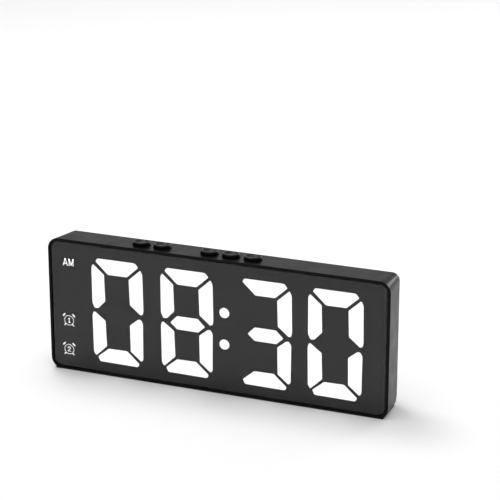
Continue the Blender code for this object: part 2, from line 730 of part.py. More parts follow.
def make_battery_door(plastic):
    """Sliding door whose end wraps over the block's sloping end, with a ribbed grip and two tabs."""
    inside = TOTAL_DEPTH - DOOR_THICKNESS
    low, high = DOOR_BOTTOM + GAP, DOOR_TOP - GAP
    start = DOOR_START + GAP
    bm = new_bm()
    plan = [(start, inside), (block_half_width(inside), inside), (BLOCK_HALF_REAR, TOTAL_DEPTH),
            (start, TOTAL_DEPTH)]
    loft(bm, [[(x, depth, z) for x, depth in plan] for z in (low, high)])
    door = finish("battery_door", bm, plastic)
    tabs = new_bm()
    for z in TAB_HEIGHTS:
        plan = [(BAY_START - 2.0, inside - 1.1), (start + 1.2, inside - 1.1), (start + 1.2, inside + 0.4),
                (start + 0.1, inside + 0.4), (start + 0.1, inside - 0.4), (BAY_START - 2.0, inside - 0.4)]
        loft(tabs, [[(x, depth, zz) for x, depth in plan] for zz in (z - 1.5, z + 1.5)])
    boolean(door, tabs, "UNION")
    grooves = new_bm()
    middle = (low + high) / 2
    for x, half in GRIP_RIBS:
        add_box(grooves, (x - 0.4, x + 0.4), (TOTAL_DEPTH - 0.4, TOTAL_DEPTH + 1.0),
                (middle - half / 2, middle + half / 2))
    return boolean(door, grooves, "DIFFERENCE")


def make_battery(index, mat):
    """One AAA cell; the upper one has its button end towards +X and the lower one towards -X."""
    sign = 1 if index == 0 else -1
    start = BAY_START + 5.7 if index == 0 else BAY_START + 1.0 + CELL_NUB + CELL_BODY
    profile = (
        (CELL_RADIUS - 0.5, start), (CELL_RADIUS, start + sign * 0.5),
        (CELL_RADIUS, start + sign * (CELL_BODY - 0.5)), (CELL_RADIUS - 0.5, start + sign * CELL_BODY),
        (1.9, start + sign * CELL_BODY), (1.8, start + sign * (CELL_BODY + CELL_NUB)),
    )
    bm = new_bm()
    add_turned(bm, profile, (CELL_DEPTH, CELL_HEIGHTS[index]), "x")
    return finish(f"battery_{index + 1}", bm, mat)


def make_contact_plates(mat):
    """Two separate plates at the inner end of the bay, and one bridge at the door's end."""
    depths = (14.6, 22.6)
    inner = (BAY_START + GAP, BAY_START + GAP + 0.4)
    outer = (BAY_END - GAP - 0.4, BAY_END - GAP)
    spans = (
        ("contact_plate_negative", inner, (CELL_HEIGHTS[0] - 4.2, CELL_HEIGHTS[0] + 4.2)),
        ("contact_plate_positive", inner, (CELL_HEIGHTS[1] - 4.2, CELL_HEIGHTS[1] + 4.2)),
        ("contact_bridge", outer, (CELL_HEIGHTS[1] - 4.2, CELL_HEIGHTS[0] + 4.2)),
    )
    for name, xs, zs in spans:
        bm = new_bm()
        add_box(bm, xs, depths, zs)
        finish(name, bm, mat)


def make_contact_spring(index, mat):
    """Conical spring on the flat end of each cell, wound by a formula and capped at both ends."""
    sign = 1 if index == 0 else -1
    base = BAY_START + 1.45 if index == 0 else BAY_END - 1.45
    wire, turns, per_turn, sides = 0.4, 3.0, 12, 5
    length = 3.2
    rings = []
    count = int(turns * per_turn)
    for i in range(count + 1):
        t = i / count
        angle = 2 * math.pi * turns * t
        coil = 3.4 - 1.3 * t
        x = base + sign * length * t
        ring = []
        for k in range(sides):
            phase = 2 * math.pi * k / sides
            radius = coil + wire * math.cos(phase)
            ring.append((x + wire * math.sin(phase), CELL_DEPTH + radius * math.cos(angle),
                         CELL_HEIGHTS[index] + radius * math.sin(angle)))
        rings.append(ring)
    bm = new_bm()
    loft(bm, rings)
    return finish(f"contact_spring_{index + 1}", bm, mat, smooth=60.0)


def make_base_pad(rubber):
    """Rubber pad under the whole clock: thin below the case, which it hugs, and thick below the block."""
    below = ((PAD_HALF, PAD_FRONT), (PAD_HALF - 0.2, PAD_SHOULDER), (PAD_HALF - 2.8, PAD_SHOULDER + 0.4),
             (PAD_HALF_REAR, PAD_REAR))
    above = below[:2] + ((PAD_HALF - 3.1, PAD_SHOULDER + 1.4), (PAD_HALF_REAR - 0.1, PAD_REAR + 1.9))
    rings = []
    for right, z in ((below, 0.0), (above, BLOCK_BOTTOM - GAP)):
        rings.append([(x, depth, z) for x, depth in right + tuple((-x, depth) for x, depth in right[::-1])])
    bm = new_bm()
    loft(bm, rings)
    pad = finish("base_pad", bm, rubber)
    case = new_bm()
    loft(case, [shell_ring(depth, -PAD_GAP) for depth in (-1.0, 0.0, SLOPE_START, CASE_DEPTH + PAD_GAP)])
    return boolean(pad, case, "DIFFERENCE")


def make_lead(name, mat, points, radius=0.55):
    """An insulated lead along a smooth curve through points, as a capped tube."""
    curve = bpy.data.curves.new(name, "CURVE")
    curve.dimensions = "3D"
    curve.bevel_depth = radius * MM
    curve.bevel_resolution = 1
    curve.use_fill_caps = True
    spline = curve.splines.new("POLY")
    smooth = []
    ends = [points[0]] + list(points) + [points[-1]]
    for i in range(len(points) - 1):
        p0, p1, p2, p3 = (Vector(p) for p in ends[i:i + 4])
        for step in range(5):
            t = step / 5
            smooth.append(0.5 * (2 * p1 + (p2 - p0) * t + (2 * p0 - 5 * p1 + 4 * p2 - p3) * t ** 2
                                 + (3 * p1 - p0 - 3 * p2 + p3) * t ** 3))
    smooth.append(Vector(points[-1]))
    spline.points.add(len(smooth) - 1)
    for place, point in zip(spline.points, smooth):
        place.co = (point.x * MM, (point.y - TOTAL_DEPTH / 2) * MM, point.z * MM, 1.0)
    curve.materials.append(mat)
    obj = bpy.data.objects.new(name, curve)
    bpy.context.scene.collection.objects.link(obj)
    obj.parent = CLOCK
    return obj


def make_leads(red, black):
    """Battery leads from the bay to the board and socket leads from the jack to the board."""
    board = BOARD_BACK + 0.9
    x, z = JACK_CENTRE
    make_lead("lead_battery_positive", red, [
        (BAY_START - 2.3, 15.0, 11.0), (BAY_START - 5.0, 14.0, 12.0), (2.0, 13.0, 17.0),
        (-2.0, 12.4, 21.0), (-4.0, board, 25.0)])
    make_lead("lead_battery_negative", black, [
        (BAY_START - 2.3, 15.0, 19.0), (BAY_START - 5.0, 14.4, 20.0), (4.0, 13.4, 24.0),
        (1.0, 12.6, 27.0), (0.0, board, 30.0)])
    make_lead("lead_jack_positive", red, [
        (x + 3.9, 13.0, z - 1.0), (x + 6.0, 13.0, z), (x + 10.0, 12.6, z + 4.0), (x + 12.0, board, z + 8.0)])
    make_lead("lead_jack_negative", black, [
        (x + 3.9, 13.0, z - 3.6), (x + 7.0, 13.0, z - 3.4), (x + 13.0, 12.6, z), (x + 16.0, board, z + 4.0)])


# ---------------------------------------------------------------- assembly

for old in list(bpy.data.objects):
    bpy.data.objects.remove(old, do_unlink=True)
CLOCK = bpy.data.objects.new("alarm_clock", None)
bpy.context.scene.collection.objects.link(CLOCK)

case_plastic = make_material("case_plastic", (0.022, 0.022, 0.022), 0.42)
lens_smoked = make_material("lens_smoked", (0.02, 0.02, 0.021), 0.08)
mask_black = make_material("mask_black", (0.012, 0.012, 0.012), 0.6)
diffuser_white = make_material("diffuser_white", (0.9, 0.9, 0.9), 0.5)
reflector_white = make_material("reflector_white", (0.8, 0.8, 0.8), 0.5)
button_plastic = make_material("button_plastic", (0.015, 0.015, 0.015), 0.35)
board_green = make_material("board_green", (0.02, 0.12, 0.05), 0.4)
chip_black = make_material("chip_black", (0.02, 0.02, 0.02), 0.5)
steel = make_material("steel", (0.55, 0.55, 0.55), 0.3, 1.0)
nickel = make_material("nickel", (0.65, 0.63, 0.58), 0.25, 1.0)
cell_jacket = make_material("cell_jacket", (0.05, 0.12, 0.3), 0.3)
pad_rubber = make_material("pad_rubber", (0.01, 0.01, 0.01), 0.85)
lead_red = make_material("lead_red", (0.5, 0.02, 0.02), 0.4)
lead_black = make_material("lead_black", (0.01, 0.01, 0.01), 0.4)

make_housing(case_plastic)
make_lens(lens_smoked)
make_mask(mask_black)
for number in range(len(DIGIT_XS)):
    make_digit_diffuser(number, diffuser_white)
make_colon_diffuser(diffuser_white)
make_status_diffuser(diffuser_white)
make_light_box(reflector_white)
make_main_board(board_green)
for number in range(len(SCREW_PLACES)):
    make_board_screw(number, steel)
make_packaged_part("controller_chip", chip_black, 18.0, 46.0, 18.0, 7.6, 1.5)
make_packaged_part("display_driver_chip", chip_black, -52.0, 46.0, 10.0, 6.2, 1.5)
make_packaged_part("crystal", nickel, 2.0, 48.0, 8.0, 3.0, 2.4, 0.6)
make_round_part("buzzer", chip_black, (-14.0, 46.0), ((6.0, 0.0), (6.0, 3.9), (5.6, 4.3), (1.0, 4.3)))
make_coin_cell_holder(chip_black)
make_round_part("coin_cell", nickel, (46.0, 44.0), ((9.4, 1.0), (9.9, 1.3), (9.9, 3.6), (9.4, 4.0)), 32)
make_microphone(steel)
make_dc_jack(chip_black)
for number in range(len(BUTTON_XS)):
    make_tact_switch(number, chip_black)
    make_plunger(number, diffuser_white)
    make_button(number, button_plastic)
make_rear_cover(case_plastic)
make_battery_door(case_plastic)
for number in range(len(CELL_HEIGHTS)):
    make_battery(number, cell_jacket)
    make_contact_spring(number, nickel)
make_contact_plates(nickel)
make_base_pad(pad_rubber)
make_leads(lead_red, lead_black)
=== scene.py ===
"""Looks of the desk alarm clock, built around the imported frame.

Sizes are in millimetres and MM turns them into metres. A point is (x, depth, z): depth counts
backwards from the front plane of the case.
"""

import math

import bmesh
import bpy
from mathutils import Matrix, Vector


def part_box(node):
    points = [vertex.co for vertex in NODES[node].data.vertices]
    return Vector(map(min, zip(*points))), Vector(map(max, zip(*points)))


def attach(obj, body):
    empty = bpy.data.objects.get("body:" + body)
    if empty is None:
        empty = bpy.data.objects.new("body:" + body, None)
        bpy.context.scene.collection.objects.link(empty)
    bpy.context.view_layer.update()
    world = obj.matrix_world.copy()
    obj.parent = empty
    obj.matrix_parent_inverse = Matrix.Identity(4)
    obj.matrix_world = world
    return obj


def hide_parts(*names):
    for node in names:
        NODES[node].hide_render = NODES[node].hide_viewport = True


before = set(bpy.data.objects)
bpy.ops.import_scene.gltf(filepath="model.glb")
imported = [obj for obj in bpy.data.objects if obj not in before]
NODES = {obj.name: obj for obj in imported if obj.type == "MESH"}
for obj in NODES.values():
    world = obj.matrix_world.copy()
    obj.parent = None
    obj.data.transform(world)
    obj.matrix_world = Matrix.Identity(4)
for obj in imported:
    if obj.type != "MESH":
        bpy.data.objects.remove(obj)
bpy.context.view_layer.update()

MM = 0.001
FRONT_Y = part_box("housing")[0].y

# Case
FRONT_WIDTH, FRONT_HEIGHT, FRONT_RADIUS = 161.0, 62.5, 5.3
CASE_DEPTH, DRAFT, WALL = 18.2, 1.9, 1.6
CASE_BOTTOM, SLOPE_START, SLOPE_RADIUS = 0.45, 16.6, 2.5
RIM_WIDTH, POCKET_DEPTH = 1.2, 1.9
LEDGE_INSET, LEDGE_BACK = 2.9, 3.1
REAR_LIP, REBATE_DEPTH = 0.7, 2.1
EDGE_ROUND = 0.2

# Battery block, rear cover, bay and door
BLOCK_DEPTH = 8.0
TOTAL_DEPTH = CASE_DEPTH + BLOCK_DEPTH
BLOCK_BOTTOM, BLOCK_TOP_REAR, BLOCK_TOP_PANEL = 3.3, 25.1, 28.0
BLOCK_HALF_REAR, BLOCK_HALF_PANEL = 65.3, 74.7
BLOCK_WALL, BLOCK_FILLET = 1.4, 0.8
END_SLOPE = (BLOCK_HALF_PANEL - BLOCK_HALF_REAR) / BLOCK_DEPTH
TOP_SLOPE = (BLOCK_TOP_PANEL - BLOCK_TOP_REAR) / BLOCK_DEPTH
COVER_INSET, COVER_THICKNESS, COVER_EDGE = 1.1, 1.8, 0.8
VENT_PITCH_X, VENT_ROWS = 24.1, (37.9, 34.4, 30.9)
VENT_LENGTH, VENT_HEIGHT = 12.0, 1.6
CHANNEL_DEPTH, CHANNEL_HALF_LENGTHS = 0.28, (61.0, 63.9, 61.0)
MIC_CENTRE, MIC_HOLE_RADIUS, MIC_BOSS_RADIUS = (-31.8, 36.3), 0.95, 6.6
JACK_CENTRE, JACK_HOLE_RADIUS = (-51.5, 22.95), 2.1
JACK_RING_RADIUS, JACK_RING_DEPTH = 3.0, 0.35
DOOR_START, DOOR_BOTTOM, DOOR_TOP, DOOR_THICKNESS, DOOR_GAP = 13.1, 4.2, 24.2, 1.4, 0.22
BAY_START, BAY_END, BAY_FLOOR_DEPTH, BAY_BOTTOM, BAY_TOP, BAY_WALL = 13.0, 64.3, 12.9, 4.3, 26.0, 1.0
TAB_HEIGHTS = (7.5, 20.5)
GRIP_RIBS = ((15.6, 9.2), (17.8, 7.4), (20.0, 5.6), (22.1, 3.6), (24.1, 1.7))
PAD_HALF, PAD_FRONT, PAD_SHOULDER, PAD_HALF_REAR, PAD_REAR, PAD_GAP = 78.3, 0.1, 16.2, 65.0, 23.8, 0.05

# Buttons
BUTTON_XS = (-37.6, -27.5, -5.0, 5.2, 15.4)
BUTTON_DEPTH, BUTTON_RISE, BUTTON_RADIUS, BUTTON_DISH = 7.5, 1.8, 3.9, 0.9
RECESS_RADIUS, RECESS_DEPTH, CAP_LIFT = 4.25, 0.7, 0.4
STEM_DEPTH, STEM_RADIUS, STEM_HOLE_RADIUS = 6.9, 2.2, 2.55
FLANGE_RADIUS, FLANGE_BOTTOM, FLANGE_TOP = 3.6, 58.75, 59.25
CAP_MARK_SUNK, CAP_MARK_PROUD = 0.03, 0.07

# Display; a segment is drawn as (x, z, corner radius) points from its digit's centre
LENS_INSET, LENS_FRONT, LENS_BACK, LENS_RADIUS = 1.55, 0.35, 0.85, 0.12
MASK_INSET, MASK_FRONT, MASK_BACK = 3.0, 1.0, 1.4
SEGMENT_FRONT, SEGMENT_BACK = 0.92, 3.6
WINDOW_CLEARANCE = 0.05
DIGIT_XS, DIGIT_Z = (-46.75, -13.1, 23.7, 56.1), 30.63
LIT = ("abcdef", "abcdefg", "abcdg", "abcdef")
COLON_X, COLON_ZS, COLON_RADIUS = 4.55, (37.9, 23.15), 2.3
SEGMENTS = {
    "a": ((-10.6, 23.0, 0.3), (-9.6, 24.47, 0.9), (8.7, 24.47, 1.6),
          (10.15, 22.62, 0.3), (4.52, 17.45, 0.2), (-4.58, 17.42, 0.2)),
    "f": ((-11.92, 21.55, 0.3), (-12.7, 19.9, 1.2), (-12.65, 3.3, 0.6), (-11.5, 0.9, 0.3),
          (-9.75, 1.05, 0.3), (-6.3, 4.75, 0.2), (-6.64, 17.1, 0.2)),
    "b": ((11.2, 21.4, 0.3), (12.15, 19.4, 1.2), (12.4, 2.4, 0.7), (11.9, 0.75, 0.4),
          (10.95, 0.45, 0.4), (5.9, 4.55, 0.2), (5.52, 16.25, 0.2)),
    "g": ((-8.1, -0.75, 0.2), (-4.9, 2.6, 0.25), (5.0, 2.6, 0.25),
          (8.35, -0.7, 0.2), (5.2, -3.65, 0.25), (-4.9, -3.6, 0.25)),
    "e": ((-11.4, -21.85, 0.3), (-12.5, -20.2, 0.9), (-12.75, -2.9, 0.6), (-12.2, -1.15, 0.35),
          (-11.5, -0.95, 0.3), (-6.42, -4.7, 0.2), (-6.0, -16.7, 0.2)),
    "c": ((11.0, -21.75, 0.3), (11.9, -20.6, 0.7), (12.05, -3.5, 0.5), (11.0, -1.8, 0.3),
          (9.75, -1.92, 0.3), (5.68, -5.2, 0.2), (5.87, -17.6, 0.2)),
    "d": ((10.0, -23.15, 0.3), (9.15, -24.65, 0.5), (-9.45, -24.5, 0.9), (-10.38, -22.35, 0.3),
          (-5.03, -17.92, 0.2), (4.03, -17.8, 0.2)),
}

# Status marks: strokes are (x, z, x, z) lines from a mark's centre
MARK_BACK = SEGMENT_FRONT + 0.06
AM_CENTRE, AM_STROKE = (-71.0, 51.43), 0.38
AM_LINES = ((-2.45, -1.55, -1.4, 1.55), (-1.4, 1.55, -0.35, -1.55), (-1.95, -0.6, -0.85, -0.6),
            (0.5, -1.55, 0.5, 1.55), (0.5, 1.55, 1.5, -1.2), (1.5, -1.2, 2.45, 1.55),
            (2.45, 1.55, 2.45, -1.55))
ALARM_CENTRES = {1: (-71.42, 23.62), 2: (-71.76, 9.6)}
ALARM_RING_OUTER, ALARM_RING_INNER, NUMERAL_STROKE = 2.45, 2.12, 0.36
NUMERALS = {
    1: ((0.1, -0.95, 0.1, 1.0), (-0.35, 0.7, 0.1, 1.0), (-0.35, -0.95, 0.55, -0.95)),
    2: ((-0.6, 0.6, -0.3, 1.0), (-0.3, 1.0, 0.35, 1.0), (0.35, 1.0, 0.6, 0.5), (0.6, 0.5, -0.65, -0.95),
        (-0.65, -0.95, 0.7, -0.95)),
}


# ---------------------------------------------------------------- materials

class Nodes:
    """Short names for building one Principled material."""

    def __init__(self, name, colour, roughness, metallic=0.0, specular=0.5):
        self.mat = bpy.data.materials.new(name)
        self.mat.use_nodes = True
        self.tree = self.mat.node_tree
        self.shader = self.tree.nodes["Principled BSDF"]
        self.set("Base Color", (*colour, 1.0))
        self.set("Roughness", roughness)
        self.set("Metallic", metallic)
        self.set("Specular IOR Level", specular)
        self.mat.diffuse_color = (*colour, 1.0)
        self.coords = self.tree.nodes.new("ShaderNodeTexCoord").outputs["Object"]

    def set(self, socket, value):
        self.shader.inputs[socket].default_value = value
        return self

    def link(self, source, target):
        self.tree.links.new(source, target)

    def noise(self, scale, detail=3.0, stretch=(1.0, 1.0, 1.0)):
        """Noise in the object's own metres; scale is in features per metre."""
        mapping = self.tree.nodes.new("ShaderNodeMapping")
        mapping.inputs["Scale"].default_value = stretch
        self.link(self.coords, mapping.inputs["Vector"])
        noise = self.tree.nodes.new("ShaderNodeTexNoise")
        noise.inputs["Scale"].default_value = scale
        noise.inputs["Detail"].default_value = detail
        self.link(mapping.outputs["Vector"], noise.inputs["Vector"])
        return noise.outputs["Fac"]

    def ramp(self, factor, stops):
        """A colour ramp through (place, colour or grey level) stops."""
        ramp = self.tree.nodes.new("ShaderNodeValToRGB")
        elements = ramp.color_ramp.elements
        while len(elements) < len(stops):
            elements.new(0.5)
        for element, (place, value) in zip(elements, stops):
            element.position = place
            element.color = (*value, 1.0) if isinstance(value, tuple) else (value, value, value, 1.0)
        self.link(factor, ramp.inputs["Fac"])
        return ramp.outputs["Color"]

    def vary_colour(self, factor, stops):
        self.link(self.ramp(factor, stops), self.shader.inputs["Base Color"])
        return self

    def vary_roughness(self, factor, low, high):
        spread = self.tree.nodes.new("ShaderNodeMapRange")
        spread.inputs["From Min"].default_value = 0.3
        spread.inputs["From Max"].default_value = 0.7
        spread.inputs["To Min"].default_value = low
        spread.inputs["To Max"].default_value = high
        self.link(factor, spread.inputs["Value"])
        self.link(spread.outputs["Result"], self.shader.inputs["Roughness"])
        return self

    def bump(self, height, depth_mm, strength=0.5):
        bump = self.tree.nodes.new("ShaderNodeBump")
        bump.inputs["Strength"].default_value = strength
        bump.inputs["Distance"].default_value = depth_mm * MM
        self.link(height, bump.inputs["Height"])
        self.link(bump.outputs["Normal"], self.shader.inputs["Normal"])
        return self


def moulded(name, grey, low, high, specular, grain=5200.0, depth_mm=0.006):
    """Moulded plastic: a fine spark-eroded grain with slow changes of gloss and shade."""
    made = Nodes(name, (grey, grey, grey), (low + high) / 2, specular=specular)
    made.vary_colour(made.noise(90.0, 2.0), ((0.35, grey * 0.88), (0.65, grey * 1.12)))
    made.vary_roughness(made.noise(140.0, 4.0), low, high)
    made.bump(made.noise(grain, 2.0), depth_mm)
    return made.mat


def lamp_white(name, strength):
    """Milky light guide that glows evenly."""
    made = Nodes(name, (0.9, 0.9, 0.9), 0.45)
    made.set("Emission Color", (1.0, 1.0, 1.0, 1.0)).set("Emission Strength", strength)
    made.bump(made.noise(2600.0, 2.0), 0.004, 0.3)
    return made.mat


def metal(name, colour, low, high, stretch=(1.0, 1.0, 1.0)):
    """Bare metal with faint marks, drawn out where the noise is stretched."""
    made = Nodes(name, colour, (low + high) / 2, metallic=1.0)
    made.vary_roughness(made.noise(900.0, 4.0, stretch), low, high)
    made.bump(made.noise(2600.0, 3.0, stretch), 0.004, 0.35)
    return made.mat


def smoked_acrylic():
    """Dark polished lens that the lit segments shine through."""
    made = Nodes("lens_smoked", (0.0055, 0.0055, 0.006), 0.05, specular=0.74)
    made.set("Alpha", 0.55).set("IOR", 1.49)
    made.vary_roughness(made.noise(60.0, 2.0), 0.04, 0.07)
    made.bump(made.noise(35.0, 1.0), 0.002, 0.15)
    return made.mat


def solder_mask_with_painted_shade():
    """Green board darkened nearly to black as painted shade, so the inside seen through the vents stays
    dark; faint copper tracks under the mask.
    """
    made = Nodes("board_green", (0.002, 0.008, 0.004), 0.45)
    traces = made.noise(420.0, 0.0, (1.0, 1.0, 0.25))
    bare, track = (0.0016, 0.006, 0.003), (0.003, 0.011, 0.006)
    made.vary_colour(traces, ((0.47, bare), (0.5, track), (0.53, bare)))
    made.vary_roughness(made.noise(200.0), 0.28, 0.42)
    made.bump(traces, 0.03, 0.4)
    return made.mat


def cell_wrap():
    """Plain battery jacket: dark body with a metallic band, split along its length."""
    made = Nodes("cell_jacket", (0.05, 0.12, 0.3), 0.28)
    split = made.tree.nodes.new("ShaderNodeSeparateXYZ")
    made.link(made.coords, split.inputs["Vector"])
    spread = made.tree.nodes.new("ShaderNodeMapRange")
    spread.inputs["From Min"].default_value = BAY_START * MM
    spread.inputs["From Max"].default_value = BAY_END * MM
    made.link(split.outputs["X"], spread.inputs["Value"])
    blue, silver = (0.02, 0.06, 0.22), (0.55, 0.55, 0.56)
    made.vary_colour(spread.outputs["Result"],
                     ((0.115, silver), (0.125, blue), (0.9, blue), (0.91, silver)))
    made.vary_roughness(made.noise(300.0), 0.22, 0.34)
    made.bump(made.noise(1500.0), 0.004, 0.3)
    return made.mat


def insulation(name, colour):
    """Soft plastic round a lead."""
    made = Nodes(name, colour, 0.42)
    dark = tuple(channel * 0.8 for channel in colour)
    made.vary_colour(made.noise(500.0), ((0.4, dark), (0.6, colour)))
    made.bump(made.noise(2500.0), 0.006, 0.3)
    return made.mat


def rubber():
    """Matt black rubber with a coarse grain."""
    made = Nodes("pad_rubber", (0.004, 0.004, 0.004), 0.8, specular=0.25)
    made.vary_colour(made.noise(300.0), ((0.4, 0.003), (0.6, 0.006)))
    made.vary_roughness(made.noise(700.0), 0.72, 0.9)
    made.bump(made.noise(3800.0, 3.0), 0.02)
    return made.mat


CASE = moulded("case_plastic", 0.004, 0.27, 0.35, 0.08)
BUTTON = moulded("button_plastic", 0.005, 0.26, 0.36, 0.24, 4200.0, 0.004)
CHIP_AND_PAINTED_SHADE = moulded("chip_black", 0.02, 0.45, 0.6, 0.4)
MASK = moulded("mask_black", 0.004, 0.6, 0.75, 0.2)
OFF = moulded("segment_off", 0.006, 0.5, 0.6, 0.2)
REFLECTOR = moulded("reflector_white", 0.78, 0.4, 0.5, 0.5)
NYLON = moulded("plunger_white", 0.8, 0.35, 0.45, 0.5)
PRINT = moulded("mark_print", 0.16, 0.4, 0.5, 0.4)
LENS = smoked_acrylic()
GLOW = lamp_white("diffuser_white", 5.0)
GLOW_MARK = lamp_white("status_white", 3.2)
PAD = rubber()
BOARD = solder_mask_with_painted_shade()
STEEL = metal("steel", (0.55, 0.55, 0.56), 0.25, 0.4)
NICKEL = metal("nickel", (0.66, 0.63, 0.57), 0.2, 0.32, (1.0, 1.0, 6.0))
JACKET = cell_wrap()
RED = insulation("lead_red", (0.5, 0.02, 0.02))
BLACK = insulation("lead_black", (0.012, 0.012, 0.012))


# ---------------------------------------------------------------- outlines, as (x, z) points

def arc_corner(before, corner, after, radius, steps):
    """Points of a fillet of this radius at a corner between two straight sides."""
    here = Vector(corner)
    to_before = (Vector(before) - here).normalized()
    to_after = (Vector(after) - here).normalized()
    half = to_before.angle(to_after) / 2
    centre = here + (to_before + to_after).normalized() * (radius / math.sin(half))
    start = here + to_before * (radius / math.tan(half)) - centre
    end = here + to_after * (radius / math.tan(half)) - centre
    sweep = math.atan2(start.x * end.y - start.y * end.x, start.dot(end))
    points = []
    for i in range(steps + 1):
        c, s = math.cos(sweep * i / steps), math.sin(sweep * i / steps)
        points.append((centre.x + start.x * c - start.y * s, centre.y + start.x * s + start.y * c))
    return points


def rounded_polygon(corners, steps=5):
    """Outline through (x, z, radius) corners."""
    points = []
    for i, (x, z, radius) in enumerate(corners):
        before, after = corners[i - 1][:2], corners[(i + 1) % len(corners)][:2]
        points += arc_corner(before, (x, z), after, radius, steps)
    return points


def case_outline(inset, low=None, low_radius=None, steps=14):
    """The case's front outline drawn in by an inset; its lower side and corners can be set."""
    radius = max(FRONT_RADIUS - inset, 0.5)
    low_radius = radius if low_radius is None else low_radius
    x, high = FRONT_WIDTH / 2 - inset, FRONT_HEIGHT - inset
    low = inset if low is None else low
    corners = ((x, low, low_radius), (x, high, radius), (-x, high, radius), (-x, low, low_radius))
    return rounded_polygon(corners, steps)


def shell_ring(depth, extra):
    """A section of the case's outer surface: drafted sides and top, flat below, sloping up at the rear."""
    forward = min(depth / SLOPE_START, 1.0)
    behind = max(depth - SLOPE_START, 0.0) / (CASE_DEPTH - SLOPE_START)
    low_radius = FRONT_RADIUS + (SLOPE_RADIUS - FRONT_RADIUS) * forward
    low_radius += (FRONT_RADIUS - DRAFT - low_radius) * behind - extra
    outline = case_outline(draft_at(depth) + extra, extra + DRAFT * behind, low_radius)
    return [(x, depth, max(z, CASE_BOTTOM + extra)) for x, z in outline]


def rectangle(x0, x1, z0, z1):
    return [(x0, z0), (x1, z0), (x1, z1), (x0, z1)]


def circle(centre, radius, steps=48):
    turns = [2 * math.pi * i / steps for i in range(steps)]
    return [(centre[0] + radius * math.cos(t), centre[1] + radius * math.sin(t)) for t in turns]


def capsule(centre, length, width, angle, steps=8):
    """A bar with round ends, turned by an angle in degrees."""
    straight = (length - width) / 2
    c, s = math.cos(math.radians(angle)), math.sin(math.radians(angle))
    points = []
    for side in (1, -1):
        for i in range(steps + 1):
            turn = math.pi * (i / steps - 0.5) + (0 if side == 1 else math.pi)
            a = side * straight + width / 2 * math.cos(turn)
            b = width / 2 * math.sin(turn)
            points.append((centre[0] + a * c - b * s, centre[1] + a * s + b * c))
    return points


def grown(corners, amount):
    """A convex outline of (x, z, radius) corners with every side moved out by an amount."""
    area = sum(a[0] * b[1] - b[0] * a[1] for a, b in zip(corners, corners[1:] + corners[:1]))
    side = math.copysign(1.0, area)
    result = []
    for i, (x, z, radius) in enumerate(corners):
        here = Vector((x, z))
        into = (here - Vector(corners[i - 1][:2])).normalized()
        out = (Vector(corners[(i + 1) % len(corners)][:2]) - here).normalized()
        normal_in = Vector((into.y, -into.x)) * side
        normal_out = Vector((out.y, -out.x)) * side
        shift = (normal_in + normal_out) * (amount / (1 + normal_in.dot(normal_out)))
        result.append((x + shift.x, z + shift.y, max(radius + amount, 0.05)))
    return tuple(result)


def placed(letter, digit):
    """One segment's corners, moved to its digit."""
    x0 = DIGIT_XS[digit]
    return tuple((x + x0, z + DIGIT_Z, radius) for x, z, radius in SEGMENTS[letter])


# ---------------------------------------------------------------- solids, in a bmesh in millimetres

def loft(bm, rings, closed=False):
    """Skins a row of equal rings; closed joins the last to the first, else both ends are capped."""
    rows = [[bm.verts.new(point) for point in ring] for ring in rings]
    pairs = list(zip(rows, rows[1:] + rows[:1])) if closed else list(zip(rows, rows[1:]))
    for first, second in pairs:
        for i in range(len(first)):
            j = (i + 1) % len(first)
            bm.faces.new((first[i], first[j], second[j], second[i]))
    if not closed:
        bm.faces.new(rows[0])
        bm.faces.new(rows[-1])
    return bm


def prism(bm, outline, front, back):
    """An (x, z) outline carried between two depths."""
    return loft(bm, [[(x, depth, z) for x, z in outline] for depth in (front, back)])


def box(bm, xs, depths, zs):
    return prism(bm, rectangle(*xs, *zs), *depths)


def turned(bm, profile, centre, axis, steps=64, closed=False):
    """A turned solid: profile is (radius, place along the axis), centre the other two coordinates."""
    rings = []
    for radius, along in profile:
        ring = []
        for i in range(steps):
            turn = 2 * math.pi * i / steps
            a = centre[0] + radius * math.cos(turn)
            b = centre[1] + radius * math.sin(turn)
            ring.append({"x": (along, a, b), "y": (a, along, b), "z": (a, b, along)}[axis])
        rings.append(ring)
    return loft(bm, rings, closed)


def solid(name, bm):
    """Makes an object of a bmesh in millimetres."""
    bmesh.ops.recalc_face_normals(bm, faces=bm.faces)
    for vert in bm.verts:
        vert.co = (vert.co.x * MM, FRONT_Y + vert.co.y * MM, vert.co.z * MM)
    mesh = bpy.data.meshes.new(name)
    bm.to_mesh(mesh)
    bm.free()
    obj = bpy.data.objects.new(name, mesh)
    bpy.context.scene.collection.objects.link(obj)
    return obj


def settle(obj):
    """Applies every modifier of an object to its mesh."""
    bpy.context.view_layer.update()
    graph = bpy.context.evaluated_depsgraph_get()
    obj.data = bpy.data.meshes.new_from_object(obj.evaluated_get(graph))
    obj.modifiers.clear()
    return obj


def combine(obj, tool, operation):
    """Joins or cuts an object with another one, which is used up."""
    modifier = obj.modifiers.new(operation.lower(), "BOOLEAN")
    modifier.operation, modifier.solver, modifier.object = operation, "EXACT", tool
    settle(obj)
    bpy.data.objects.remove(tool)
    return obj


def boolean(obj, tool_bm, operation):
    return combine(obj, solid("tool", tool_bm), operation)


def soften(obj, width, segments=3, angle=30.0):
    """Rounds every edge sharper than an angle."""
    modifier = obj.modifiers.new("soften", "BEVEL")
    modifier.width, modifier.segments = width * MM, segments
    modifier.limit_method, modifier.angle_limit = "ANGLE", math.radians(angle)
    return settle(obj)


def dress(obj, mat, body="clock", stands_for=(), angle=40.0):
    """Shades, paints and attaches a finished piece."""
    obj.data.materials.clear()
    obj.data.materials.append(mat)
    for face in obj.data.polygons:
        face.material_index = 0
    obj.data.shade_smooth()
    obj.data.set_sharp_from_angle(angle=math.radians(angle))
    normals = obj.modifiers.new("normals", "WEIGHTED_NORMAL")
    normals.keep_sharp = True
    normals.weight = 80
    settle(obj)
    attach(obj, body)
    if stands_for:
        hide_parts(*stands_for)
    return obj


